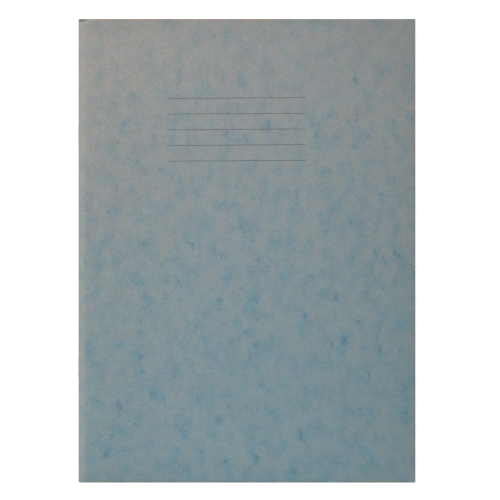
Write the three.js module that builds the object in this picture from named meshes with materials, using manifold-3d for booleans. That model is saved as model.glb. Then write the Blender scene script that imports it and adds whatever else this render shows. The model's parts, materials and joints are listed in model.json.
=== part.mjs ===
import * as THREE from 'three';
import { mergeVertices } from 'three/addons/utils/BufferGeometryUtils.js';
import Module from 'manifold-3d';

// A stapled notebook: folded paper sheets nested in one folded pressboard cover.
// It lies closed on its back cover. Millimetres, +Z up, +X from the spine to the fore edge,
// +Y to the head. The origin is the middle of the underside of its box.
//
// Every sheet, and the cover round them, opens along the outermost line of the spine. So each
// is built as a front and a back half that meet at the middle of the book's thickness, and
// every half turns about that one line.

// Driving sizes: cover and paper
const coverWidth = 216;
const coverHeight = 297;
const boardThickness = 0.5;
const sheetCount = 24;
const paperThickness = 0.08;

// Driving sizes: the nested folds
const foldGap = 0.02;       // air between two sheets where they turn round the fold
const leafGap = 0.035;      // air between two leaves out on the page
const boardGap = 0.03;      // air between the cover and the outermost sheet
const splitGap = 0.02;      // from a half's cut end to the middle of the thickness
const settleLength = 9;     // how far from the fold a leaf takes to lie flat

// Driving sizes: the staples
const wireDiameter = 0.45;
const wireClearance = 0.08; // between the wire and the holes that it passes through
const wireRoom = 0.185;     // between the clinched wire and the fold of the centre sheet
const wireBend = 0.35;      // radius of the wire's bends, to its middle
const crownWidth = 13;      // between the middles of a staple's legs
const clinchLength = 5;     // how far each leg is folded inwards
const stapleInset = 74;     // from the head, and from the tail, to a staple's middle

// Facets of the curved stretches
const foldSteps = 6;
const settleSteps = 4;
const bendSteps = 3;
const bevelSteps = 2;

// Derived: the radii of the folds, to the middle of each sheet, sheet 0 being the outermost
const innerFoldRadius = wireDiameter / 2 + wireRoom + paperThickness / 2;
const foldRadius = (sheet) =>
  innerFoldRadius + (sheetCount - 1 - sheet) * (paperThickness + foldGap);
const leafRise = (sheet) =>
  splitGap + paperThickness / 2 + (sheetCount - 1 - sheet) * (paperThickness + leafGap);
const coverInnerRadius =
  Math.max(foldRadius(0), leafRise(0)) + paperThickness / 2 + boardGap;
const coverOuterRadius = coverInnerRadius + boardThickness;

// Derived: where the spine, the fore edge and the folds lie. The crowns of the staples stand
// half their wire proud of the spine, and the box that is centred on the origin holds them.
const crownProud = wireDiameter / 2;
const spineX = -(coverWidth - crownProud) / 2;
const foreEdgeX = spineX + coverWidth;
const middleZ = coverOuterRadius;
const foldCentreX = spineX + coverOuterRadius;
const clinchX = foldCentreX - (wireRoom - wireClearance);
const stapleY = coverHeight / 2 - stapleInset;

const FRONT = 1;
const BACK = -1;

const wasm = await Module();
wasm.setup();

const pressboard = new THREE.MeshStandardMaterial({
  color: new THREE.Color().setRGB(0.5, 0.57, 0.59, THREE.SRGBColorSpace),
  roughness: 0.5,
  metalness: 0,
});
const paper = new THREE.MeshStandardMaterial({
  color: new THREE.Color().setRGB(0.95, 0.94, 0.89, THREE.SRGBColorSpace),
  roughness: 0.85,
  metalness: 0,
});
const galvanisedWire = new THREE.MeshStandardMaterial({
  color: new THREE.Color().setRGB(0.72, 0.73, 0.75, THREE.SRGBColorSpace),
  roughness: 0.35,
  metalness: 1,
});

// A closed three.js geometry as a solid for cutting.
function toSolid(geometry) {
  const bare = geometry.clone();
  bare.deleteAttribute('normal');
  bare.deleteAttribute('uv');
  const merged = mergeVertices(bare, 1e-6);
  return new wasm.Manifold(new wasm.Mesh({
    numProp: 3,
    vertProperties: Float32Array.from(merged.attributes.position.array),
    triVerts: Uint32Array.from(merged.index.array),
  }));
}

// A solid back as a three.js geometry with flat-shaded faces.
function toGeometry(solid) {
  const mesh = solid.getMesh();
  const geometry = new THREE.BufferGeometry();
  geometry.setAttribute('position', new THREE.BufferAttribute(mesh.vertProperties, 3));
  geometry.setIndex(new THREE.BufferAttribute(mesh.triVerts, 1));
  geometry.computeVertexNormals();
  return geometry;
}

// One face of a half sheet, seen from the tail, as heights over the middle of the thickness: a
// quarter turn round the fold, an easy slope down to the page's own height, and the flat page.
function facePoints(radius, rise, offset) {
  const turn = radius + offset;
  const start = Math.asin(splitGap / turn);
  const points = [];
  for (let step = 0; step <= foldSteps; step++) {
    const angle = start + (Math.PI / 2 - start) * (step / foldSteps);
    points.push([foldCentreX - turn * Math.cos(angle), turn * Math.sin(angle)]);
  }
  const slopes = radius === rise ? 0 : settleSteps;
  for (let step = 1; step <= slopes; step++) {
    const along = step / slopes;
    const ease = (1 + Math.cos(Math.PI * along)) / 2;
    points.push([foldCentreX + settleLength * along, rise + offset + (radius - rise) * ease]);
  }
  points.push([foreEdgeX, rise + offset]);
  return points;
}

// Half of a folded sheet or board, head to tail, on the front or the back side.
function halfSheet(side, radius, rise, thickness) {
  const outline = [
    ...facePoints(radius, rise, thickness / 2),
    ...facePoints(radius, rise, -thickness / 2).reverse(),
  ].map(([x, height]) => new THREE.Vector2(x, middleZ + side * height));
  return new THREE.ExtrudeGeometry(new THREE.Shape(outline), {
    depth: coverHeight,
    bevelEnabled: false,
  })
    .rotateX(Math.PI / 2)
    .translate(0, coverHeight / 2, 0);
}

// The outline of a wire laid along a path of straight runs and right-angle bends.
function wireOutline(path, halfWidth) {
  const left = [];
  const right = [];
  path.forEach((point, i) => {
    const arriving = i > 0 ? point.clone().sub(path[i - 1]).normalize() : null;
    const leaving = i < path.length - 1 ? path[i + 1].clone().sub(point).normalize() : null;
    if (!arriving || !leaving) {
      const along = arriving ?? leaving;
      const across = new THREE.Vector2(-along.y, along.x);
      left.push(point.clone().addScaledVector(across, halfWidth));
      right.push(point.clone().addScaledVector(across, -halfWidth));
      return;
    }
    const turn = Math.sign(arriving.cross(leaving));
    const inward = new THREE.Vector2(-arriving.y, arriving.x).multiplyScalar(turn);
    const centre = point.clone()
      .addScaledVector(arriving, -wireBend)
      .addScaledVector(inward, wireBend);
    for (let step = 0; step <= bendSteps; step++) {
      const angle = (Math.PI / 2) * (step / bendSteps);
      const spoke = inward.clone()
        .multiplyScalar(-Math.cos(angle))
        .addScaledVector(arriving, Math.sin(angle));
      left.push(centre.clone().addScaledVector(spoke, wireBend - turn * halfWidth));
      right.push(centre.clone().addScaledVector(spoke, wireBend + turn * halfWidth));
    }
  });
  return new THREE.Shape([...left, ...right.reverse()]);
}

// A length of wire, or the room it needs, lying at the middle of the thickness.
function wireBody(path, diameter) {
  const bevel = diameter / (2 + Math.SQRT2);
  return new THREE.ExtrudeGeometry(wireOutline(path, diameter / 2 - bevel), {
    depth: diameter - 2 * bevel,
    bevelEnabled: true,
    bevelThickness: bevel,
    bevelSize: bevel,
    bevelSegments: bevelSteps,
  }).translate(0, 0, middleZ - diameter / 2 + bevel);
}

// A staple: its crown on the outermost line of the spine, its legs in through every fold, and
// its ends folded towards each other inside the centre sheet.
function staple(y) {
  const half = crownWidth / 2;
  const path = [
    [clinchX, y - half + clinchLength],
    [clinchX, y - half],
    [spineX, y - half],
    [spineX, y + half],
    [clinchX, y + half],
    [clinchX, y + half - clinchLength],
  ].map(([x, along]) => new THREE.Vector2(x, along));
  return wireBody(path, wireDiameter);
}

// The room that the crown and legs of a staple take in the board and the sheets.
function stapleHole(y) {
  const half = crownWidth / 2;
  const path = [
    [foldCentreX, y - half],
    [spineX, y - half],
    [spineX, y + half],
    [foldCentreX, y + half],
  ].map(([x, along]) => new THREE.Vector2(x, along));
  return wireBody(path, wireDiameter + 2 * wireClearance);
}

const stapleHoles = toSolid(stapleHole(stapleY)).add(toSolid(stapleHole(-stapleY)));

function stitched(geometry) {
  return toGeometry(toSolid(geometry).subtract(stapleHoles));
}

function named(name, geometry, material) {
  const mesh = new THREE.Mesh(geometry, material);
  mesh.name = name;
  return mesh;
}

// The cover lies flat at the same height as its fold, so it needs no slope.
function coverBoard(side) {
  const radius = (coverInnerRadius + coverOuterRadius) / 2;
  return stitched(halfSheet(side, radius, radius, boardThickness));
}

function leaf(side, sheet) {
  return stitched(halfSheet(side, foldRadius(sheet), leafRise(sheet), paperThickness));
}

const leafName = (number) => `leaf_${String(number).padStart(2, '0')}`;

const cover = new THREE.Group();
cover.add(named('front_cover', coverBoard(FRONT), pressboard));
cover.add(named('back_cover', coverBoard(BACK), pressboard));

// Leaves are numbered from the front, so sheet 0 is the first leaf and the last one.
const block = new THREE.Group();
for (let sheet = 0; sheet < sheetCount; sheet++) {
  block.add(named(leafName(sheet + 1), leaf(FRONT, sheet), paper));
  block.add(named(leafName(2 * sheetCount - sheet), leaf(BACK, sheet), paper));
}

const stitching = new THREE.Group();
stitching.add(named('staple_head', staple(stapleY), galvanisedWire));
stitching.add(named('staple_tail', staple(-stapleY), galvanisedWire));

const notebook = new THREE.Group();
notebook.add(cover, block, stitching);

export default notebook;
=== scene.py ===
"""A stapled notebook with a mottled pressboard cover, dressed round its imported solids.

Lengths are in metres. A size that is written in millimetres is multiplied by MM.
"""

import json
import logging
import math
import random
from abc import ABC, abstractmethod
from collections.abc import Iterator
from dataclasses import dataclass, field
from enum import Enum
from typing import ClassVar

import bmesh
import bpy
from bmesh.types import BMEdge, BMesh, BMVert
from bpy.types import Material, Node, NodeSocket as Socket, NodeTree, Object
from mathutils import Color, Matrix, Vector


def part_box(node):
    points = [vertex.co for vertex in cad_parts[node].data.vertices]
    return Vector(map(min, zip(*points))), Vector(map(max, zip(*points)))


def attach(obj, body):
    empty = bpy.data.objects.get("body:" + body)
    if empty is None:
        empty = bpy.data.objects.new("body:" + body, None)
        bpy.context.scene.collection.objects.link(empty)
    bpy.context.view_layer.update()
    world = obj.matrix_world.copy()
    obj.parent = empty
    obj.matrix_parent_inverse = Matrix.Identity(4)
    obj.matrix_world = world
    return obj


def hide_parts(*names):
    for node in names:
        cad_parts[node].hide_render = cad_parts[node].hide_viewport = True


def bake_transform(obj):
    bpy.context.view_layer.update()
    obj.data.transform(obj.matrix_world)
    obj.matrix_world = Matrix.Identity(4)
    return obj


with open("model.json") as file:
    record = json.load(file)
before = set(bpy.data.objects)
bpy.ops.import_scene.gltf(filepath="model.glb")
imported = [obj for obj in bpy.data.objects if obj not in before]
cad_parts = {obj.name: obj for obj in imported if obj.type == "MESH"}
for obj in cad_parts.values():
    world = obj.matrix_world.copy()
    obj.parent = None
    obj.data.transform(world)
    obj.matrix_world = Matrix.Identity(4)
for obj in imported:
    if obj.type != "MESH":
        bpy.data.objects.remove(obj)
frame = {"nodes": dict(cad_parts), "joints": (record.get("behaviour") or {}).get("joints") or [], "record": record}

logger = logging.getLogger("notebook")

Triple = tuple[float, float, float]
Colour = Triple

MM = 0.001
# The attribute that keeps where each point lies in the closed notebook
AT_REST = "at_rest"
# Points that are less than this apart lie together
HAIR = 0.001 * MM
# Edges at least this sharp are rounded, and edges at most this sharp are shaded smooth
SHARP_ANGLE = math.radians(60)
SMOOTH_ANGLE = math.radians(35)
ONES = (1.0, 1.0, 1.0)
ZEROS = (0.0, 0.0, 0.0)
WHITE = (1.0, 1.0, 1.0, 1.0)
FULL_LEVEL = 255
# The kinds of a node group's sockets
FLOAT = "NodeSocketFloat"
VECTOR = "NodeSocketVector"
# The numbers of a Mix node's sockets for colours, whose names it uses for other kinds too
MIX_INPUTS = (0, 6, 7)
MIX_OUTPUT = 2


class Side(Enum):
    """The half of a folded sheet that lies over or under the middle of the thickness."""

    FRONT = 1
    BACK = -1


class Face(Enum):
    """The material slots of a board: its two faces and its cut edge."""

    OUTER = 0
    INNER = 1
    CUT = 2


def linear(colour: Colour) -> tuple[float, float, float, float]:
    """Turns a colour on the 0 to 255 scale of a picture into linear light, with an alpha of 1."""
    shares = [level / FULL_LEVEL for level in colour]
    return (*Color(shares).from_srgb_to_scene_linear(), 1.0)


@dataclass(frozen=True)
class Ramp:
    """An easing between ranges: low and below give start, high and above give end."""

    low: float
    high: float
    start: float = 0.0
    end: float = 1.0


@dataclass(frozen=True)
class Blots:
    """A noise: the width of its blots, its finer layers, how it is bent, drawn and moved, and its easing."""

    width: float
    detail: float = 3.0
    roughness: float = 0.6
    distortion: float = 0.0
    stretch: Triple = ONES
    shift: Triple = ZEROS
    ramp: Ramp | None = None


class Graph:
    """A node tree that is laid one node at a time, and the place its patterns are read at."""

    def __init__(self, tree: NodeTree) -> None:
        """Keeps the tree that the nodes go into."""
        self.tree = tree
        self.place: Socket | None = None

    def add(self, kind: str, inputs: dict | None = None, **settings: object) -> Node:
        """Adds a node.

        Args:
            kind: Blender's name of the node type.
            inputs: Input names or numbers, each with a socket or a plain value that feeds it.
            **settings: Properties of the node itself.

        Returns:
            The new node.
        """
        node = self.tree.nodes.new(kind)
        for name, value in settings.items():
            setattr(node, name, value)
        for name, value in (inputs or {}).items():
            if isinstance(value, Socket):
                self.tree.links.new(value, node.inputs[name])
            else:
                node.inputs[name].default_value = value
        return node

    def math(self, operation: str, first: object, second: object = 0.0) -> Socket:
        """Adds a Math node and returns its value."""
        return self.add("ShaderNodeMath", {0: first, 1: second}, operation=operation).outputs[0]

    def plus(self, first: object, second: object) -> Socket:
        """Adds two values up."""
        return self.math("ADD", first, second)

    def minus(self, first: object, second: object) -> Socket:
        """Takes the second value from the first."""
        return self.math("SUBTRACT", first, second)

    def times(self, first: object, second: object) -> Socket:
        """Multiplies two values."""
        return self.math("MULTIPLY", first, second)

    def mean(self, first: object, second: object) -> Socket:
        """Works out the mean of two values."""
        return self.times(self.plus(first, second), 0.5)

    def span(self, value: object, ramp: Ramp) -> Socket:
        """Eases a value from one range into another."""
        inputs = dict(enumerate((value, ramp.low, ramp.high, ramp.start, ramp.end)))
        return self.add("ShaderNodeMapRange", inputs, interpolation_type="SMOOTHSTEP").outputs[0]

    def mix(self, share: object, first: object, second: object, blend: str = "MIX") -> Socket:
        """Mixes two colours, with a share from 0 to 1 of the second."""
        inputs = dict(zip(MIX_INPUTS, (share, first, second)))
        return self.add("ShaderNodeMix", inputs, data_type="RGBA", blend_type=blend).outputs[MIX_OUTPUT]

    def filtered(self, tone: object, factor: object) -> Socket:
        """Multiplies a colour by another."""
        return self.mix(1.0, tone, factor, "MULTIPLY")

    def split(self, vector: Socket) -> tuple[Socket, Socket, Socket]:
        """Splits a vector into its X, Y and Z."""
        outputs = self.add("ShaderNodeSeparateXYZ", {0: vector}).outputs
        return outputs[0], outputs[1], outputs[2]

    def slanted(self, slope: object) -> Socket:
        """Measures how far the place lies beyond a line that climbs by the slope."""
        across, along, _ = self.split(self.place)
        return self.minus(along, self.times(across, slope))

    def distance(self, start: object, end: object) -> Socket:
        """Measures how far two points are apart."""
        return self.add("ShaderNodeVectorMath", {0: start, 1: end}, operation="DISTANCE").outputs["Value"]

    def moved(self, stretch: Triple, shift: Triple = ZEROS) -> Socket:
        """Scales and shifts the place, so that a pattern is drawn out or lies apart."""
        inputs = {"Vector": self.place, "Scale": stretch, "Location": shift}
        return self.add("ShaderNodeMapping", inputs).outputs[0]

    def noise(self, blots: Blots) -> Socket:
        """Adds a noise.

        Args:
            blots: The noise's numbers.

        Returns:
            A value round 0.5, or what it is eased into.
        """
        unmoved = (blots.stretch, blots.shift) == (ONES, ZEROS)
        inputs = {
            "Vector": self.place if unmoved else self.moved(blots.stretch, blots.shift),
            "Scale": 1 / blots.width,
            "Detail": blots.detail,
            "Roughness": blots.roughness,
            "Distortion": blots.distortion,
        }
        value = self.add("ShaderNodeTexNoise", inputs).outputs[0]
        return self.span(value, blots.ramp) if blots.ramp else value

    def bump(self, height: Socket, strength: float, distance: float, **under: Socket) -> Socket:
        """Bends the normal by a pattern that stands a distance high, on the Normal under it."""
        inputs = {"Height": height, "Strength": strength, "Distance": distance, **under}
        return self.add("ShaderNodeBump", inputs).outputs[0]

    def surface(self, tone: Socket, roughness: object, metallic: float = 0.0, **relief: Socket) -> Socket:
        """Adds the shader of a surface, which takes its Normal from its relief if it has any."""
        inputs = {"Base Color": tone, "Roughness": roughness, "Metallic": metallic, **relief}
        return self.add("ShaderNodeBsdfPrincipled", inputs).outputs[0]

    def seen(self) -> Socket:
        """Tells the rays of the camera, of mirrors and of glass from those that carry light.

        Returns:
            1 for what is seen, or 0.
        """
        rays = self.add("ShaderNodeLightPath").outputs
        mirrored = self.math("MAXIMUM", rays["Is Camera Ray"], rays["Is Glossy Ray"])
        return self.math("MAXIMUM", mirrored, rays["Is Transmission Ray"])


class Effect(ABC):
    """A shader node group that reads patterns at a position, built once and used by name."""

    name: ClassVar[str]
    inputs: ClassVar[dict[str, str]] = {}
    outputs: ClassVar[tuple[str, ...]]

    @classmethod
    @abstractmethod
    def lay(cls, graph: Graph, given: dict[str, Socket]) -> dict[str, Socket]:
        """Lays the group's nodes.

        Args:
            graph: The inside of the group.
            given: The group's inputs.

        Returns:
            What goes to each output.
        """

    @classmethod
    def tree(cls) -> NodeTree:
        """Finds the group, or builds it the first time.

        Returns:
            The group.
        """
        found = bpy.data.node_groups.get(cls.name)
        if found:
            return found
        tree = bpy.data.node_groups.new(cls.name, "ShaderNodeTree")
        for name, kind in {"Position": VECTOR, **cls.inputs}.items():
            tree.interface.new_socket(name, in_out="INPUT", socket_type=kind)
        for name in cls.outputs:
            tree.interface.new_socket(name, in_out="OUTPUT", socket_type=FLOAT)
        graph = Graph(tree)
        given = {socket.name: socket for socket in graph.add("NodeGroupInput").outputs}
        graph.place = given["Position"]
        graph.add("NodeGroupOutput", cls.lay(graph, given))
        return tree

    @classmethod
    def put(cls, graph: Graph, **values: object) -> dict[str, Socket]:
        """Puts the group into a material, at the material's place and with values for other inputs."""
        node = graph.add("ShaderNodeGroup", {"Position": graph.place, **values}, node_tree=cls.tree())
        return {name: node.outputs[name] for name in cls.outputs}


class Mottling(Effect):
    """Clouds and blots of dye in a pressed board, dark specks, drifts of its hue, and a fine grain."""

    name = "mottling"
    outputs = ("Dye", "Specks", "Hue", "Cast", "Grain")
    # Where the fields lie that are kept apart from the clouds
    aside = (0.31, 0.17, 0.05)
    apart = (-0.23, 0.41, 0.09)
    clouds = Blots(8.2 * MM, roughness=0.55, distortion=0.1, stretch=(1.0, 0.75, 1.0))
    soft_dye = Ramp(0.34, 0.84)
    gathering = Ramp(0.4, 0.62)
    spots = Blots(
        4.6 * MM,
        detail=2.0,
        roughness=0.5,
        distortion=0.2,
        stretch=(1.0, 0.64, 1.0),
        shift=(0.13, -0.37, 0.0),
    )
    dense_dye = Ramp(0.55, 0.78)
    dense_share = 0.65
    cores = Ramp(0.62, 0.76)
    flecks = Blots(
        3.6 * MM, detail=1.0, roughness=0.4, distortion=0.3, shift=aside, ramp=Ramp(0.7, 0.82)
    )
    hue = Blots(5 * MM, shift=aside, ramp=Ramp(0.2, 0.8))
    cast = Blots(5.5 * MM, detail=2.0, roughness=0.5, shift=apart, ramp=Ramp(0.25, 0.75))
    grain = Blots(1.3 * MM, shift=apart, ramp=Ramp(0.2, 0.8))

    @classmethod
    def lay(cls, graph: Graph, given: dict[str, Socket]) -> dict[str, Socket]:
        """Lays clouds with denser blots in them, and the fields apart from them.

        Args:
            graph: The inside of the group.
            given: The group's inputs.

        Returns:
            What goes to each output.
        """
        clouds = graph.noise(cls.clouds)
        spots = graph.noise(cls.spots)
        gathered = graph.span(clouds, cls.gathering)
        dense = graph.times(graph.times(graph.span(spots, cls.dense_dye), gathered), cls.dense_share)
        specks = graph.math("MAXIMUM", graph.span(spots, cls.cores), graph.noise(cls.flecks))
        return {
            "Dye": graph.plus(graph.span(clouds, cls.soft_dye), dense),
            "Specks": graph.times(specks, gathered),
            "Hue": graph.noise(cls.hue),
            "Cast": graph.noise(cls.cast),
            "Grain": graph.noise(cls.grain),
        }


class Ruling(Effect):
    """A block of thin printed lines along X, evenly spaced down from a first line."""

    name = "ruling"
    inputs = dict.fromkeys(("First", "Pitch", "Count", "Thickness", "Left", "Right", "Tilt"), FLOAT)
    outputs = ("Ink",)

    @classmethod
    def lay(cls, graph: Graph, given: dict[str, Socket]) -> dict[str, Socket]:
        """Numbers the lines down the page and keeps what is near a whole number.

        Args:
            graph: The inside of the group.
            given: The group's inputs.

        Returns:
            What goes to each output.
        """
        pitch = given["Pitch"]
        number = graph.math("DIVIDE", graph.minus(given["First"], graph.slanted(given["Tilt"])), pitch)
        nearest = graph.math("ROUND", number)
        off = graph.math("ABSOLUTE", graph.minus(number, nearest))
        reach = graph.math("DIVIDE", given["Thickness"], graph.times(pitch, 2.0))
        inked = graph.math("LESS_THAN", off, reach)
        across = graph.split(graph.place)[0]
        for limit in (
            graph.math("GREATER_THAN", nearest, -0.5),
            graph.math("LESS_THAN", nearest, graph.minus(given["Count"], 0.5)),
            graph.math("GREATER_THAN", across, given["Left"]),
            graph.math("LESS_THAN", across, given["Right"]),
        ):
            inked = graph.times(inked, limit)
        return {"Ink": inked}


class Borders(Effect):
    """How near a point is to the fold, to the nearest trimmed side, and to the left or right side."""

    name = "borders"
    inputs = dict.fromkeys(("Low", "High"), VECTOR)
    outputs = ("Fold", "Trim", "Side")

    @classmethod
    def lay(cls, graph: Graph, given: dict[str, Socket]) -> dict[str, Socket]:
        """Measures the way in from each side, in metres.

        Args:
            graph: The inside of the group.
            given: The group's inputs.

        Returns:
            What goes to each output.
        """
        x, y, _ = graph.split(graph.place)
        low_x, low_y, _ = graph.split(given["Low"])
        high_x, high_y, _ = graph.split(given["High"])
        fold = graph.minus(x, low_x)
        fore = graph.minus(high_x, x)
        nearest_end = graph.math("MINIMUM", graph.minus(y, low_y), graph.minus(high_y, y))
        return {
            "Fold": fold,
            "Trim": graph.math("MINIMUM", fore, nearest_end),
            "Side": graph.math("MINIMUM", fold, fore),
        }


class Fibres(Effect):
    """Matted fibres: long soft streaks both ways, as a value round 0.5."""

    name = "fibres"
    outputs = ("Mat",)
    along_x = Blots(0.35 * MM, distortion=0.6, stretch=(0.25, 1.0, 1.0))
    along_y = Blots(0.45 * MM, distortion=0.6, stretch=(1.0, 0.25, 1.0))

    @classmethod
    def lay(cls, graph: Graph, given: dict[str, Socket]) -> dict[str, Socket]:
        """Lays streaks along X over streaks along Y."""
        return {"Mat": graph.mean(graph.noise(cls.along_x), graph.noise(cls.along_y))}


@dataclass(frozen=True)
class Finish(ABC):
    """A material that is built once, under its own name."""

    name: str

    def material(self) -> Material:
        """Finds the material, or builds it the first time.

        Returns:
            The material.
        """
        found = bpy.data.materials.get(self.name)
        if found:
            return found
        made = bpy.data.materials.new(self.name)
        made.use_nodes = True
        made.node_tree.nodes.clear()
        graph = Graph(made.node_tree)
        graph.place = self.position(graph)
        graph.add("ShaderNodeOutputMaterial", {"Surface": self.dress(graph)})
        return made

    def position(self, graph: Graph) -> Socket:
        """Returns the point that the patterns are read at."""
        return graph.add("ShaderNodeTexCoord").outputs["Object"]

    @abstractmethod
    def dress(self, graph: Graph) -> Socket:
        """Lays the material's nodes.

        Args:
            graph: The material's nodes.

        Returns:
            The shader of the surface.
        """


@dataclass(frozen=True)
class PrintedLines:
    """A block of ruled lines: its place and spacing, its ink, and how much of the ground that hides."""

    first: float
    left: float
    right: float
    count: int
    pitch: float
    thickness: float
    ink: Colour
    cover: Blots | float
    tilt: float = 0.0

    def printed(self, graph: Graph, ground: Socket) -> Socket:
        """Prints the lines.

        Args:
            graph: The material's nodes.
            ground: The colour that they are printed on.

        Returns:
            The colour with the lines on it.
        """
        sizes = {name: float(getattr(self, name.lower())) for name in Ruling.inputs}
        cover = graph.noise(self.cover) if isinstance(self.cover, Blots) else self.cover
        share = graph.times(Ruling.put(graph, **sizes)["Ink"], cover)
        return graph.mix(share, ground, linear(self.ink))


@dataclass(frozen=True)
class TitleLines(PrintedLines):
    """The ruled lines for a title on the front cover, whose ink is thinner in fine specks."""

    count: int = 5
    pitch: float = 10.05 * MM
    thickness: float = 0.35 * MM
    ink: Colour = (58, 62, 62)
    cover: Blots | float = Blots(0.25 * MM, detail=2.0, ramp=Ramp(0.3, 0.55, 0.75, 1.0))
    tilt: float = 0.0065


@dataclass(frozen=True)
class PageLines(PrintedLines):
    """The faint ruling of a page."""

    pitch: float = 8 * MM
    thickness: float = 0.24 * MM
    ink: Colour = (160, 178, 200)
    cover: Blots | float = 0.8


@dataclass(frozen=True)
class Tint:
    """What a dye, wear or painted shade does to the board's own tone where there is none and where it is dense."""

    dense: Colour
    thin: Colour = ONES

    def factor(self, graph: Graph, amount: Socket) -> Socket:
        """Returns the factor on the tone for an amount from 0 to 1."""
        return graph.mix(amount, (*self.thin, 1.0), (*self.dense, 1.0))

    def over(self, graph: Graph, tone: Socket, amount: Socket) -> Socket:
        """Returns the tone with an amount from 0 to 1 of the tint on it."""
        return graph.filtered(tone, self.factor(graph, amount))


@dataclass(frozen=True)
class Mark:
    """A mark round the head of the fold: its colour, its reach, and the noise that breaks it up."""

    tone: Colour
    reach: Ramp
    breaks: Blots


@dataclass(frozen=True)
class GlazedBoard(Finish):
    """Dyed pressboard with a glazed face, mottled, and paler and greyer towards the head: partly faded, partly a
    painted sheen and highlight of the light from the top left, with painted shade laid on too.
    """

    low: Triple
    high: Triple
    lines: PrintedLines | None = None
    # Whether the face has the fade, the painted sheen and highlight, and the painted shade at the head of the fore
    # edge
    has_fade_and_painted_light: bool = True
    # The bare board, fresh, faded with a painted sheen, and under a painted highlight towards the top left, and
    # the drift that breaks up the fade and sheen
    deep_tone: Colour = (112, 140, 149)
    fade_and_sheen_tone: Colour = (149, 148, 145)
    highlight_tone: Colour = (160, 158, 156)
    drift: Blots = Blots(60 * MM, detail=2.0, roughness=0.5)
    drift_reach: float = 40 * MM
    fade_and_sheen_slope: float = 0.22
    fade_and_sheen_reach: Ramp = Ramp(-150 * MM, 260 * MM)
    unfaded: Ramp = Ramp(0.3, 0.7, 0.15, 0.3)
    highlight_slope: float = 1.1
    highlight_reach: Ramp = Ramp(110 * MM, 300 * MM, 0.0, 0.65)
    # The dye, fresh and where fading and the painted sheen pale it, and what varies it
    dye: Tint = Tint(thin=(1.13, 1.025, 0.99), dense=(0.62, 0.895, 1.0))
    fade_and_sheen_dye: Tint = Tint(thin=(1.045, 1.018, 1.012), dense=(0.86, 0.944, 0.962))
    hue: Tint = Tint(thin=(0.99, 1.02, 1.065), dense=(1.01, 0.98, 0.935))
    cast: Tint = Tint(thin=(1.012, 0.974, 1.018), dense=(0.988, 1.026, 0.982))
    grain: Tint = Tint(thin=(1.105, 1.1, 1.1), dense=(0.895, 0.9, 0.9))
    specks: Tint = Tint(dense=(0.76, 0.79, 0.84))
    fade_and_sheen_specks: Ramp = Ramp(0.2, 1.0, 1.0, 0.2)
    # Painted shade along the sides and at the head of the fore edge, a band along the fold that is partly rubbed
    # and partly painted highlight, wear, and painted shade on the fold's outer edge
    patches: Blots = Blots(4 * MM, ramp=Ramp(0.3, 0.7, 0.7, 1.2))
    side_shade: Tint = Tint(dense=(0.945, 0.93, 0.905))
    side_shade_reach: Ramp = Ramp(0.0, 90 * MM, 1.0, 0.0)
    fore_head_shade: Tint = Tint(dense=(0.935, 0.955, 0.965))
    fore_head_shade_reach: Ramp = Ramp(15 * MM, 100 * MM, 1.0, 0.0)
    fore_head_shade_drop: float = 1.6
    fold_rub_and_highlight_tone: Colour = (165, 168, 161)
    fold_rub_and_highlight_reach: Ramp = Ramp(0.0, 7 * MM, 0.6, 0.0)
    wear: Tint = Tint(dense=(1.14, 0.88, 0.76))
    wear_reach: Ramp = Ramp(0.3 * MM, 1.9 * MM, 0.9, 0.0)
    spared_wear: Ramp = Ramp(0.0, 1.0, 1.0, 0.35)
    # Painted shade on the fold's outer edge
    turned: Tint = Tint(dense=(0.86, 0.85, 0.86))
    fold_edge_shade_reach: Ramp = Ramp(0.1 * MM, 1.1 * MM, 1.0, 0.0)
    # Rubbed pale near the head of the fold, partly painted highlight, and a painted shadow at its very corner
    # where the fold turns down
    rub_and_highlight: Mark = Mark(
        tone=(180, 178, 175),
        reach=Ramp(7 * MM, 14 * MM, 0.5, 0.0),
        breaks=Blots(1.6 * MM, roughness=0.65, ramp=Ramp(0.35, 0.6)),
    )
    # Painted shadow at the very corner of the fold's head, where the fold turns down
    corner_shadow: Mark = Mark(
        tone=(84, 83, 82),
        reach=Ramp(3 * MM, 8 * MM, 0.85, 0.0),
        breaks=Blots(0.9 * MM, detail=2.0, roughness=0.5, ramp=Ramp(0.3, 0.6, 0.75, 1.0)),
    )
    mark_drop: float = 3.0
    gloss: Ramp = Ramp(0.2, 1.3, 0.42, 0.66)

    def dress(self, graph: Graph) -> Socket:
        """Lays dye with its fade, painted sheen and painted highlight, painted shade, the fold's rubbed and
        highlighted band, wear, marks and print, and then the glaze.

        Args:
            graph: The material's nodes.

        Returns:
            The shader of the surface.
        """
        drift = graph.noise(self.drift)
        mottling = Mottling.put(graph)
        borders = Borders.put(graph, Low=self.low, High=self.high)
        patchy = graph.noise(self.patches)
        # A paler band along the fold: partly rubbed wear, partly a painted highlight where the rounded fold
        # catches the light
        fold = graph.times(graph.span(borders["Fold"], self.fold_rub_and_highlight_reach), patchy)
        worn = graph.times(graph.span(borders["Trim"], self.wear_reach), patchy)
        # Paler and greyer towards the head and the top left: partly faded, partly painted sheen and highlight
        tone = self.dyed(graph, self.fade_and_sheen(graph, drift), mottling)
        # Painted shade: darker towards the spine and the fore edge
        tone = self.side_shade.over(graph, tone, graph.span(borders["Side"], self.side_shade_reach))
        if self.has_fade_and_painted_light:
            # Painted shade: darker towards the head of the fore edge, away from the light at the top left; wear is
            # kept weaker there
            fore_head_shaded = graph.span(self.from_head(graph, self.high[0], self.fore_head_shade_drop), self.fore_head_shade_reach)
            tone = self.fore_head_shade.over(graph, tone, fore_head_shaded)
            worn = graph.times(worn, graph.span(fore_head_shaded, self.spared_wear))
        tone = graph.mix(fold, tone, linear(self.fold_rub_and_highlight_tone))
        tone = self.wear.over(graph, tone, worn)
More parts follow.
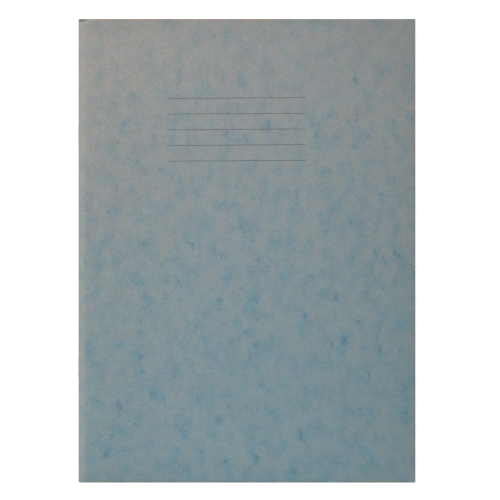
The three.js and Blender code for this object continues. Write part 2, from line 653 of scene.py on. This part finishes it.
        # Painted shade on the outermost millimetre of the fold, where it turns down away from the light
        tone = self.turned.over(graph, tone, graph.span(borders["Fold"], self.fold_edge_shade_reach))
        way = self.from_head(graph, self.low[0], self.mark_drop)
        # A rubbed patch with a painted highlight near the head of the fold, and a painted shadow at its corner
        for mark in (self.rub_and_highlight, self.corner_shadow):
            share = graph.times(graph.span(way, mark.reach), graph.noise(mark.breaks))
            tone = graph.mix(share, tone, linear(mark.tone))
        if self.lines:
            tone = self.lines.printed(graph, tone)
        roughness = graph.span(graph.plus(mottling["Grain"], worn), self.gloss)
        fine = graph.bump(Fibres.put(graph)["Mat"], strength=0.25, distance=0.02 * MM)
        wavy = graph.bump(drift, strength=0.3, distance=0.6 * MM, Normal=fine)
        return graph.surface(tone, roughness, Normal=wavy)

    def fade_and_sheen(self, graph: Graph, drift: Socket) -> Socket:
        """Works out how far a point is faded, together with a painted sheen of the light from the top left that
        pales and greys it the same way.

        Args:
            graph: The material's nodes.
            drift: A slow noise that breaks up the border of the fade and sheen.

        Returns:
            0 where the dye is fresh, to 1 where fading and painted sheen are strongest.
        """
        if not self.has_fade_and_painted_light:
            return graph.span(drift, self.unfaded)
        wander = graph.times(graph.minus(drift, 0.5), self.drift_reach)
        return graph.span(graph.plus(graph.slanted(self.fade_and_sheen_slope), wander), self.fade_and_sheen_reach)

    def dyed(self, graph: Graph, fade_and_sheen: Socket, mottling: dict[str, Socket]) -> Socket:
        """Works out the colour of the mottled board with its fade, painted sheen and painted highlight, before the
        painted shade, wear and marks.

        Args:
            graph: The material's nodes.
            fade_and_sheen: How far a point is faded and paled by the painted sheen.
            mottling: The mottling's outputs.

        Returns:
            The colour.
        """
        # Partly faded, partly painted sheen: the tone greys and pales towards the head
        tone = graph.mix(fade_and_sheen, linear(self.deep_tone), linear(self.fade_and_sheen_tone))
        if self.has_fade_and_painted_light:
            # Painted highlight: paler and more neutral towards the top left, where the light falls
            highlight = graph.span(graph.slanted(self.highlight_slope), self.highlight_reach)
            tone = graph.mix(highlight, tone, linear(self.highlight_tone))
        # Fading and the painted sheen weaken the mottling and its specks
        fresh, pale = (tint.factor(graph, mottling["Dye"]) for tint in (self.dye, self.fade_and_sheen_dye))
        tone = graph.filtered(tone, graph.mix(graph.times(fade_and_sheen, fade_and_sheen), fresh, pale))
        for tint, output in ((self.hue, "Hue"), (self.cast, "Cast"), (self.grain, "Grain")):
            tone = tint.over(graph, tone, mottling[output])
        specks = graph.times(mottling["Specks"], graph.span(fade_and_sheen, self.fade_and_sheen_specks))
        return self.specks.over(graph, tone, specks)

    def from_head(self, graph: Graph, x: float, drop: float) -> Socket:
        """Measures the way from a point on the cover's head, with each step down counted drop times."""
        start = (x, drop * self.high[1], self.high[2])
        return graph.distance(graph.moved((1.0, drop, 1.0)), start)


@dataclass(frozen=True)
class CutBoard(Finish):
    """The trimmed edge of the board, where its pressed layers show."""

    tone: Colour = (150, 160, 163)
    layer_tone: Colour = (112, 128, 137)
    layers: Blots = Blots(0.12 * MM, detail=2.0, stretch=(0.04, 0.04, 1.0), ramp=Ramp(0.35, 0.65))
    loose_fibres: Ramp = Ramp(0.35, 0.65, 0.4, 1.0)

    def dress(self, graph: Graph) -> Socket:
        """Lays thin layers along the edge, with fibres pulled loose by the knife.

        Args:
            graph: The material's nodes.

        Returns:
            The shader of the surface.
        """
        layers = graph.noise(self.layers)
        fibres = Fibres.put(graph)["Mat"]
        share = graph.times(layers, graph.span(fibres, self.loose_fibres))
        tone = graph.mix(share, linear(self.tone), linear(self.layer_tone))
        relief = graph.bump(graph.plus(fibres, layers), strength=0.5, distance=0.05 * MM)
        return graph.surface(tone, roughness=0.85, Normal=relief)


@dataclass(frozen=True)
class SheetFinish(Finish):
    """A finish that stays with the paper where a sheet bends."""

    def position(self, graph: Graph) -> Socket:
        """Returns where the point lies in the closed notebook."""
        return graph.add("ShaderNodeAttribute", attribute_name=AT_REST).outputs["Vector"]


@dataclass(frozen=True)
class WritingPaper(SheetFinish):
    """Uncoated writing paper with faint ruled lines."""

    lines: PrintedLines
    tone: Colour = (244, 242, 234)
    shadow_tone: Colour = (235, 232, 221)
    clouds: Blots = Blots(14 * MM, ramp=Ramp(0.35, 0.7))
    matted: Ramp = Ramp(0.35, 0.65)
    shadow_share: float = 0.45

    def dress(self, graph: Graph) -> Socket:
        """Lays cloudy paper, its fibres and the ruling.

        Args:
            graph: The material's nodes.

        Returns:
            The shader of the surface.
        """
        fibres = Fibres.put(graph)["Mat"]
        uneven = graph.plus(graph.noise(self.clouds), graph.span(fibres, self.matted))
        share = graph.times(uneven, self.shadow_share)
        tone = self.lines.printed(graph, graph.mix(share, linear(self.tone), linear(self.shadow_tone)))
        relief = graph.bump(fibres, strength=0.3, distance=0.02 * MM)
        return graph.surface(tone, roughness=0.82, Normal=relief)


@dataclass(frozen=True)
class PaperEdge(SheetFinish):
    """The trimmed edge of the sheets, a little darker where the knife dragged."""

    tone: Colour = (248, 245, 235)
    drag_tone: Colour = (226, 221, 207)
    per_sheet: Blots = Blots(0.16 * MM, detail=1.0, roughness=0.5, stretch=(0.02, 0.02, 1.0))
    dragged: Blots = Blots(0.7 * MM, stretch=(1.0, 1.0, 0.08))
    streaks: Ramp = Ramp(0.38, 0.66)

    def dress(self, graph: Graph) -> Socket:
        """Lays streaks across the block, and a tone of its own for each sheet."""
        share = graph.span(graph.mean(graph.noise(self.per_sheet), graph.noise(self.dragged)), self.streaks)
        return graph.surface(graph.mix(share, linear(self.tone), linear(self.drag_tone)), roughness=0.9)


@dataclass(frozen=True)
class GalvanisedWire(Finish):
    """Zinc-coated stitching wire with drawing marks along it."""

    tone: Colour = (196, 199, 203)
    dull_tone: Colour = (150, 153, 158)
    patches: Blots = Blots(0.8 * MM, ramp=Ramp(0.35, 0.7))
    marks: Blots = Blots(0.08 * MM, detail=2.0, roughness=0.5, stretch=(1.0, 0.06, 1.0))
    dulling: Ramp = Ramp(0.0, 1.0, 0.3, 0.5)

    def dress(self, graph: Graph) -> Socket:
        """Lays dull patches and fine marks over bright metal.

        Args:
            graph: The material's nodes.

        Returns:
            The shader of the surface.
        """
        patches = graph.noise(self.patches)
        tone = graph.mix(patches, linear(self.tone), linear(self.dull_tone))
        relief = graph.bump(graph.noise(self.marks), strength=0.3, distance=0.01 * MM)
        return graph.surface(tone, graph.span(patches, self.dulling), metallic=1.0, Normal=relief)


@dataclass(frozen=True)
class WhiteSweep(Finish):
    """The studio floor: lit like white paper, and pure white to the camera where nothing shades it."""

    lit_share: float = 0.7
    own_share: float = 0.62

    def dress(self, graph: Graph) -> Socket:
        """Adds a glow that only the camera, mirrors and glass see.

        Args:
            graph: The material's nodes.

        Returns:
            The shader of the surface.
        """
        lit = graph.add("ShaderNodeBsdfDiffuse", {"Color": (*[self.lit_share] * 3, 1.0)})
        strength = graph.times(graph.seen(), self.own_share)
        glow = graph.add("ShaderNodeEmission", {"Color": WHITE, "Strength": strength})
        return graph.add("ShaderNodeAddShader", {0: lit.outputs[0], 1: glow.outputs[0]}).outputs[0]


@dataclass(frozen=True)
class Layout:
    """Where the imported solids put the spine, the trimmed edges and the folds."""

    spine_x: float
    fore_x: float
    tail_y: float
    head_y: float
    top_z: float
    middle_z: float

    @classmethod
    def from_frame(cls) -> "Layout":
        """Reads the front cover's box and the line that everything turns about.

        Returns:
            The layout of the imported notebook.
        """
        low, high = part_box("front_cover")
        hinge = frame["joints"][0]["pos_m"]
        return cls(low.x, high.x, low.y, high.y, high.z, hinge[2])

    @property
    def fold_x(self) -> float:
        """The middle of the arcs that all the folds share."""
        return self.spine_x + self.top_z - self.middle_z

    @property
    def centre(self) -> Vector:
        """The middle of the cover's face."""
        return Vector(((self.spine_x + self.fore_x) / 2, (self.tail_y + self.head_y) / 2, self.top_z))


@dataclass(frozen=True)
class HalfSheet:
    """One half of a folded sheet, from the fold to the fore edge."""

    side: Side
    radius: float
    rise: float
    thickness: float

    @classmethod
    def from_node(cls, node: str, side: Side, layout: Layout) -> "HalfSheet":
        """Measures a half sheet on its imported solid.

        Args:
            node: Name of the solid.
            side: The half of the book that it lies in.
            layout: The edges and folds.

        Returns:
            The half sheet, measured to the middle of its paper or board.
        """
        corners = [corner.co for corner in frame["nodes"][node].data.vertices]
        heights = [abs(co.z - layout.middle_z) for co in corners]
        page = [h for h, co in zip(heights, corners) if co.x > layout.fore_x - MM]
        thickness = max(page) - min(page)
        rise = (max(page) + min(page)) / 2
        return cls(side, max(heights) - thickness / 2, rise, thickness)


def drawn_out(bm: BMesh, edges: list[BMEdge], way: Triple) -> list[BMEdge]:
    """Draws edges straight out into faces.

    Args:
        bm: The mesh.
        edges: The edges.
        way: How far they go.

    Returns:
        The edges at their new place.
    """
    grown = bmesh.ops.extrude_edge_only(bm, edges=edges)["geom"]
    verts = [item for item in grown if isinstance(item, BMVert)]
    bmesh.ops.translate(bm, verts=verts, vec=way)
    fresh = [item for item in grown if isinstance(item, BMEdge)]
    return [edge for edge in fresh if all(vert in verts for vert in edge.verts)]


def swung(bm: BMesh, edges: list[BMEdge], **turn: object) -> list[BMEdge]:
    """Draws edges out round an axis.

    Args:
        bm: The mesh.
        edges: The edges.
        **turn: The operator's cent, axis, angle and steps.

    Returns:
        The edges at their new place.
    """
    verts = dict.fromkeys(vert for edge in edges for vert in edge.verts)
    turned = bmesh.ops.spin(bm, geom=[*edges, *verts], **turn)
    return [item for item in turned["geom_last"] if isinstance(item, BMEdge)]


def cleaned(bm: BMesh) -> None:
    """Merges the points that lie together, and turns all faces the same way."""
    bmesh.ops.remove_doubles(bm, verts=bm.verts, dist=HAIR)
    bmesh.ops.recalc_face_normals(bm, faces=bm.faces)


def sharp_edges(bm: BMesh) -> list[BMEdge]:
    """Lists the edges at which a mesh turns sharply."""
    return [edge for edge in bm.edges if edge.calc_face_angle(0.0) > SHARP_ANGLE]


def bevelled(bm: BMesh, geom: list, offset: float, segments: int = 2, affect: str = "EDGES") -> None:
    """Rounds edges, or corners where VERTICES are affected, from an offset on each side of them."""
    shape = {"offset": offset, "segments": segments, "profile": 0.5, "affect": affect, "material": -1}
    bmesh.ops.bevel(bm, geom=geom, **shape)


def finished(name: str, bm: BMesh, materials: list[Material]) -> Object:
    """Makes an object of a mesh, with smooth faces and each point's place at rest kept.

    Args:
        name: The piece's name.
        bm: The mesh, which is freed.
        materials: The piece's material slots.

    Returns:
        The object, at the origin, with its place in its mesh.
    """
    mesh = bpy.data.meshes.new(name)
    bm.to_mesh(mesh)
    bm.free()
    for material in materials:
        mesh.materials.append(material)
    mesh.set_sharp_from_angle(angle=SMOOTH_ANGLE)
    spots = mesh.attributes.new(AT_REST, "FLOAT_VECTOR", "POINT")
    for vertex, spot in zip(mesh.vertices, spots.data):
        spot.vector = vertex.co
    piece = bpy.data.objects.new(name, mesh)
    bpy.context.scene.collection.objects.link(piece)
    return piece


@dataclass
class Mesher:
    """Makes a sheet as a mesh: round the fold, down the slope and out to the fore edge."""

    layout: Layout
    fold_steps: int = 14
    slope_steps: int = 8
    page_steps: int = 8
    rows: int = 12
    slope_length: float = 9 * MM
    end_unevenness: float = 0.1
    bm: BMesh = field(default_factory=bmesh.new)

    def strip(self, half: HalfSheet, end_gap: float) -> BMEdge:
        """Adds the middle surface of a half sheet.

        Args:
            half: The half sheet.
            end_gap: From its end in the fold to the middle of the thickness.

        Returns:
            The edge at its end in the fold.
        """
        lay, bm = self.layout, self.bm
        side = float(half.side.value)
        start = math.asin(end_gap / half.radius)
        x = lay.fold_x - half.radius * math.cos(start)
        z = lay.middle_z + side * end_gap
        first = bm.edges.new([bm.verts.new((x, y, z)) for y in (lay.tail_y, lay.head_y)])
        edges = swung(
            bm,
            [first],
            cent=(lay.fold_x, 0.0, lay.middle_z),
            axis=(0.0, side, 0.0),
            angle=math.pi / 2 - start,
            steps=self.fold_steps,
        )
        drop = half.radius - half.rise
        slopes = self.slope_steps if drop > HAIR else 0
        height = half.radius
        for step in range(1, slopes + 1):
            eased = half.rise + drop * (1 + math.cos(math.pi * step / slopes)) / 2
            edges = drawn_out(bm, edges, (self.slope_length / slopes, 0.0, side * (eased - height)))
            height = eased
        reach = lay.fore_x - edges[0].verts[0].co.x
        for _ in range(self.page_steps):
            edges = drawn_out(bm, edges, (reach / self.page_steps, 0.0, 0.0))
        return first

    def ruled_off(self) -> None:
        """Cuts every strip into rows from tail to head."""
        runs = [edge for edge in self.bm.edges if abs(edge.verts[0].co.y - edge.verts[1].co.y) > MM]
        bmesh.ops.subdivide_edges(self.bm, edges=runs, cuts=self.rows - 1, use_grid_fill=True)
        cleaned(self.bm)

    def trimmed(self, chance: random.Random, most: float) -> None:
        """Sets a sheet's three trimmed sides in by a hair, as the knife leaves them.

        Args:
            chance: The book's own run of random numbers.
            most: The furthest that a side is set in.
        """
        lay = self.layout
        sides = (
            (0, lay.fore_x, -chance.uniform(0.0, most)),
            (1, lay.head_y, -chance.uniform(0.0, most)),
            (1, lay.tail_y, chance.uniform(0.0, most)),
        )
        for axis, edge, shift in sides:
            verts = [vert for vert in self.bm.verts if abs(vert.co[axis] - edge) < most / 2 + HAIR]
            move = Vector(ZEROS)
            move[axis] = shift
            bmesh.ops.translate(self.bm, verts=verts, vec=move)

    def thickened(self, thickness: float, rim: int = 0) -> None:
        """Gives the middle surface an even thickness, half of it to each side.

        Args:
            thickness: The thickness of the board or paper.
            rim: The material slot of the cut edges.
        """
        surface = bpy.data.meshes.new("surface")
        self.bm.to_mesh(surface)
        self.bm.free()
        for _ in range(rim + 1):
            surface.materials.append(None)
        carrier = bpy.data.objects.new("surface", surface)
        bpy.context.scene.collection.objects.link(carrier)
        modifier = carrier.modifiers.new("thickness", "SOLIDIFY")
        modifier.thickness = thickness
        modifier.offset = 0.0
        modifier.use_even_offset = True
        modifier.material_offset_rim = rim
        bpy.context.view_layer.update()
        self.bm = bmesh.new()
        self.bm.from_mesh(carrier.evaluated_get(bpy.context.evaluated_depsgraph_get()).data)
        bpy.data.objects.remove(carrier)
        bpy.data.meshes.remove(surface)

    def squared(self, half: HalfSheet, end_gap: float, slant: float = 0.0) -> None:
        """Moves the cut ends in the fold, which thickening leaves uneven, to where they belong.

        Args:
            half: The half sheet.
            end_gap: From the inner face's end to the middle of the thickness.
            slant: How much further from the middle the outer face ends.
        """
        lay = self.layout
        for vert in self.bm.verts:
            height = vert.co.z - lay.middle_z
            if vert.co.x > lay.fold_x or abs(height) > end_gap + self.end_unevenness * half.thickness:
                continue
            outer = lay.fold_x - vert.co.x > half.radius
            vert.co.z = lay.middle_z + math.copysign(end_gap + slant * outer, height)


@dataclass
class Cover:
    """The one folded board round the pages, as a front and a back half."""

    layout: Layout
    end_gap: float = 0.016 * MM
    end_reach: float = 0.1 * MM
    corner_radius: float = 0.5 * MM
    corner_steps: int = 3
    edge_rounding: float = 0.09 * MM
    facing_share: float = 0.5
    title_first_y: float = 97.9 * MM
    title_left_x: float = -50.4 * MM
    title_right_x: float = 37.8 * MM

    def build(self) -> Iterator[Object]:
        """Builds and dresses the two halves.

        Yields:
            Each half.
        """
        for side, node in ((Side.FRONT, "front_cover"), (Side.BACK, "back_cover")):
            piece = self.half(side, node)
            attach(piece, node)
            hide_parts(node)
            yield piece

    def half(self, side: Side, node: str) -> Object:
        """Builds one half of the board.

        Args:
            side: Front or back.
            node: The solid that it stands for.

        Returns:
            The dressed half.
        """
        mesher = Mesher(self.layout, fold_steps=24, page_steps=12, rows=16)
        half = HalfSheet.from_node(node, side, self.layout)
        mesher.strip(half, self.end_gap)
        mesher.ruled_off()
        self.round_corners(mesher.bm)
        mesher.thickened(half.thickness)
        mesher.squared(half, self.end_gap)
        self.round_edges(mesher.bm)
        self.assign_faces(mesher.bm, side)
        materials = [finish.material() for finish in self.finishes(side)]
        return finished(f"board_{side.name.lower()}", mesher.bm, materials)

    def finishes(self, side: Side) -> list[Finish]:
        """Lists the finishes of the outer face, the inner face and the cut edge.

        Args:
            side: Front or back.

        Returns:
            The three finishes, in the order of the slots.
        """
        lay = self.layout
        low = (lay.spine_x, lay.tail_y, 0.0)
        high = (lay.fore_x, lay.head_y, lay.top_z)
        lines = TitleLines(
            first=lay.centre.y + self.title_first_y,
            left=lay.centre.x + self.title_left_x,
            right=lay.centre.x + self.title_right_x,
        )
        printed = lines if side is Side.FRONT else None
        outer = GlazedBoard(f"board_{side.name.lower()}_outer", low, high, printed)
        inner = GlazedBoard("board_inner", low, high, has_fade_and_painted_light=False)
        return [outer, inner, CutBoard("board_cut")]

    def round_corners(self, bm: BMesh) -> None:
        """Takes the points off the two corners at the fore edge."""
        corners = [vert for vert in bm.verts if len(vert.link_faces) == 1 and not self.in_fold(vert.co)]
        bevelled(bm, corners, self.corner_radius, self.corner_steps, "VERTICES")

    def round_edges(self, bm: BMesh) -> None:
        """Rounds the trimmed edges, but not the ends that meet in the fold."""
        edges = [edge for edge in sharp_edges(bm) if not all(self.in_fold(vert.co) for vert in edge.verts)]
        bevelled(bm, edges, self.edge_rounding)

    def in_fold(self, spot: Vector) -> bool:
        """Tells whether a point lies at the end of a half in the fold."""
        lay = self.layout
        return spot.x < lay.fold_x and abs(spot.z - lay.middle_z) < self.end_reach

    def assign_faces(self, bm: BMesh, side: Side) -> None:
        """Gives each face of the board its outer, inner or cut finish.

        Args:
            bm: The board.
            side: Front or back.
        """
        lay = self.layout
        bm.normal_update()
        for face in bm.faces:
            spot = face.calc_center_median()
            outward = Vector((min(spot.x - lay.fold_x, 0.0), 0.0, spot.z - lay.middle_z))
            if spot.x >= lay.fold_x:
                outward = Vector((0.0, 0.0, float(side.value)))
            facing = face.normal.dot(outward.normalized())
            choice = Face.CUT
            if abs(facing) > self.facing_share:
                choice = Face.OUTER if facing > 0 else Face.INNER
            face.material_index = choice.value


@dataclass
class PageBlock:
    """The nested sheets: one loose half for each leaf, but the centre sheet whole."""

    layout: Layout
    sheet_count: int = 24
    end_gap: float = 0.06 * MM
    centre_gap: float = 0.004 * MM
    centre_slant: float = 0.006 * MM
    most_trim: float = 0.12 * MM
    head_margin: float = 26 * MM
    tail_margin: float = 14 * MM
    seed: int = 7
    chance: random.Random = field(init=False)

    def __post_init__(self) -> None:
        """Starts the block's own run of random numbers."""
        self.chance = random.Random(self.seed)

    def finishes(self) -> list[Material]:
        """Finds or builds the materials of a page and of its trimmed edge.

        Returns:
            The two materials, in the order of the slots.
        """
        lay = self.layout
        first_line = lay.head_y - self.head_margin
        ruled = first_line - lay.tail_y - self.tail_margin
        count = int(ruled / PageLines.pitch) + 1
        lines = PageLines(first_line, lay.spine_x, lay.fore_x, count)
        return [WritingPaper("writing_paper", lines).material(), PaperEdge("paper_edge").material()]

    def build(self) -> Iterator[Object]:
        """Builds and dresses the pages.

        Yields:
            Each leaf, and the centre sheet last.
        """
        bodies = frame["record"]["behaviour"]["bodies"]
        body_of = {node: body for body, nodes in bodies.items() for node in nodes}
        for number in range(1, 2 * self.sheet_count + 1):
            if number in (self.sheet_count, self.sheet_count + 1):
                continue
            node = f"leaf_{number:02d}"
            side = Side.FRONT if number <= self.sheet_count else Side.BACK
            piece = self.sheet(f"page_{number:02d}", {side: node}, self.end_gap)
            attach(piece, body_of[node])
            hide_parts(node)
            yield piece
        yield self.centre_sheet(body_of)

    def sheet(self, name: str, nodes: dict[Side, str], gap: float, slant: float = 0.0) -> Object:
        """Builds half a sheet, or a whole one with its halves joined in the fold.

        Args:
            name: The piece's name.
            nodes: The solid that each half stands for.
            gap: From a half's end in the fold to the middle of the thickness.
            slant: How much further from the middle its outer face ends.

        Returns:
            The dressed sheet.
        """
        mesher = Mesher(self.layout)
        ends = []
        for side, node in nodes.items():
            half = HalfSheet.from_node(node, side, self.layout)
            ends.append(sorted(mesher.strip(half, gap).verts, key=lambda vert: vert.co.y))
        if len(ends) > 1:
            mesher.bm.faces.new((*ends[0], *reversed(ends[1])))
        mesher.ruled_off()
        mesher.trimmed(self.chance, self.most_trim)
        mesher.thickened(half.thickness, rim=1)
        mesher.squared(half, gap, slant)
        return finished(name, mesher.bm, self.finishes())

    def centre_sheet(self, body_of: dict[str, str]) -> Object:
        """Builds the centre sheet as one piece, whole across the fold where the book opens at its middle.

        Args:
            body_of: The body of each solid; not used.

        Returns:
            The dressed sheet.
        """
        nodes = {
            Side.FRONT: f"leaf_{self.sheet_count:02d}",
            Side.BACK: f"leaf_{self.sheet_count + 1:02d}",
        }
        piece = self.sheet("centre_sheet", nodes, self.centre_gap, self.centre_slant)
        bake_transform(piece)
        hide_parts(*nodes.values())
        return piece


@dataclass
class Stitching:
    """The two staples through the spine."""

    layout: Layout
    bend_radius: float = 0.35 * MM
    bend_steps: int = 6
    sides: int = 14
    clinch: float = 5 * MM
    end_rounding: float = 0.06 * MM

    def build(self) -> Iterator[Object]:
        """Builds and dresses the staples, each on its solid's own box.

        Yields:
            Each staple.
        """
        for node in ("staple_head", "staple_tail"):
            piece = self.staple(node)
            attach(piece, "back_leaves_inner")
            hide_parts(node)
            yield piece

    def staple(self, node: str) -> Object:
        """Bends a round wire along the crown, the legs and the clinched ends.

        Args:
            node: The solid that it stands for.

        Returns:
            The dressed staple.
        """
        low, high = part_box(node)
        wire = (high.z - low.z) / 2
        radius = self.bend_radius
        z = self.layout.middle_z
        start = Vector((high.x - wire, low.y + wire + self.clinch, z))
        # The middles of the bends, beside the crown and beside the clinched ends
        crown_x = low.x + wire + radius
        clinch_x = high.x - wire - radius
        tail_y = low.y + wire + radius
        head_y = high.y - wire - radius
        end = (0.0, radius - self.clinch, 0.0)
        path = (
            (end, (clinch_x, tail_y, z)),
            ((crown_x - clinch_x, 0.0, 0.0), (crown_x, tail_y, z)),
            ((0.0, head_y - tail_y, 0.0), (crown_x, head_y, z)),
            ((clinch_x - crown_x, 0.0, 0.0), (clinch_x, head_y, z)),
        )
        bm = bmesh.new()
        facing = Matrix.Translation(start) @ Matrix.Rotation(math.pi / 2, 4, "X")
        bmesh.ops.create_circle(bm, segments=self.sides, radius=wire, matrix=facing)
        bend = {"axis": (0.0, 0.0, -1.0), "angle": math.pi / 2, "steps": self.bend_steps}
        # Strip by strip, because Blender adds the faces of a whole ring in a new order at each run
        for edge in list(bm.edges):
            edges = [edge]
            for way, centre in path:
                edges = swung(bm, drawn_out(bm, edges, way), cent=centre, **bend)
            drawn_out(bm, edges, end)
        cleaned(bm)
        bmesh.ops.holes_fill(bm, edges=[edge for edge in bm.edges if edge.is_boundary], sides=0)
        cleaned(bm)
        bevelled(bm, sharp_edges(bm), self.end_rounding)
        return finished(f"{node}_wire", bm, [GalvanisedWire("galvanised_wire").material()])


@dataclass(frozen=True)
class PhotoView:
    """Where the camera stood over the closed notebook, from the cover's place in the picture."""

    layout: Layout
    picture_px: float = 500.0
    cover_height_px: float = 463.7
    cover_centre_px: tuple[float, float] = (246.75, 250.8)
    stand_off: float = 1.5
    sensor_mm: float = 36.0

    def place(self) -> None:
        """Adds the camera and makes it the scene's own."""
        lay = self.layout
        per_px = (lay.head_y - lay.tail_y) / self.cover_height_px
        middle_px = self.picture_px / 2
        right = (middle_px - self.cover_centre_px[0]) * per_px
        up = (self.cover_centre_px[1] - middle_px) * per_px
        data = bpy.data.cameras.new("photo_camera")
        data.sensor_width = self.sensor_mm
        data.lens = self.sensor_mm * self.stand_off / (self.picture_px * per_px)
        camera = bpy.data.objects.new("photo_camera", data)
        camera.location = lay.centre + Vector((right, up, self.stand_off))
        bpy.context.scene.collection.objects.link(camera)
        bpy.context.scene.camera = camera


@dataclass(frozen=True)
class Lamp:
    """A square soft lamp that points at the notebook."""

    name: str
    place: Triple
    size: float
    watts: float

    def hang(self) -> None:
        """Hangs the lamp in its place."""
        data = bpy.data.lights.new(self.name, "AREA")
        data.size = self.size
        data.energy = self.watts
        lamp = bpy.data.objects.new(self.name, data)
        lamp.location = self.place
        lamp.rotation_euler = Vector(self.place).to_track_quat("Z", "Y").to_euler()
        bpy.context.scene.collection.objects.link(lamp)


@dataclass(frozen=True)
class Studio:
    """The white floor, the soft lamps and the pale surroundings."""

    floor_size: float = 8.0
    floor_drop: float = 0.1 * MM
    world_light: float = 0.58
    key: Lamp = Lamp("key", place=(-0.38, -0.04, 0.8), size=0.7, watts=2.9)
    fill: Lamp = Lamp("fill", place=(0.9, 0.5, 1.2), size=1.4, watts=1.2)

    def build(self) -> None:
        """Builds the floor, the lamps and the world."""
        self.floor()
        self.key.hang()
        self.fill.hang()
        self.world()
        bpy.context.scene.view_settings.view_transform = "Standard"

    def floor(self) -> None:
        """Lays the floor just under the notebook."""
        bm = bmesh.new()
        bmesh.ops.create_grid(bm, x_segments=1, y_segments=1, size=self.floor_size / 2)
        bmesh.ops.translate(bm, verts=bm.verts, vec=(0.0, 0.0, -self.floor_drop))
        finished("floor", bm, [WhiteSweep("white_sweep").material()])

    def world(self) -> None:
        """Lights softly from all round, and shows white to the camera, mirrors and glass."""
        world = bpy.data.worlds.new("surroundings")
        world.use_nodes = True
        world.node_tree.nodes.clear()
        graph = Graph(world.node_tree)
        strength = graph.span(graph.seen(), Ramp(0.0, 1.0, self.world_light, 1.0))
        light = graph.add("ShaderNodeBackground", {"Color": WHITE, "Strength": strength})
        graph.add("ShaderNodeOutputWorld", {"Surface": light.outputs[0]})
        bpy.context.scene.world = world


def main() -> None:
    """Builds the notebook and its studio."""
    logging.basicConfig(level=logging.INFO, format="%(name)s: %(message)s")
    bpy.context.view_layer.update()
    layout = Layout.from_frame()
    PhotoView(layout).place()
    for part in (Cover(layout), PageBlock(layout), Stitching(layout)):
        for piece in part.build():
            logger.info("%s: %d faces", piece.name, len(piece.data.polygons))
    Studio().build()


if __name__ == "__main__":
    main()
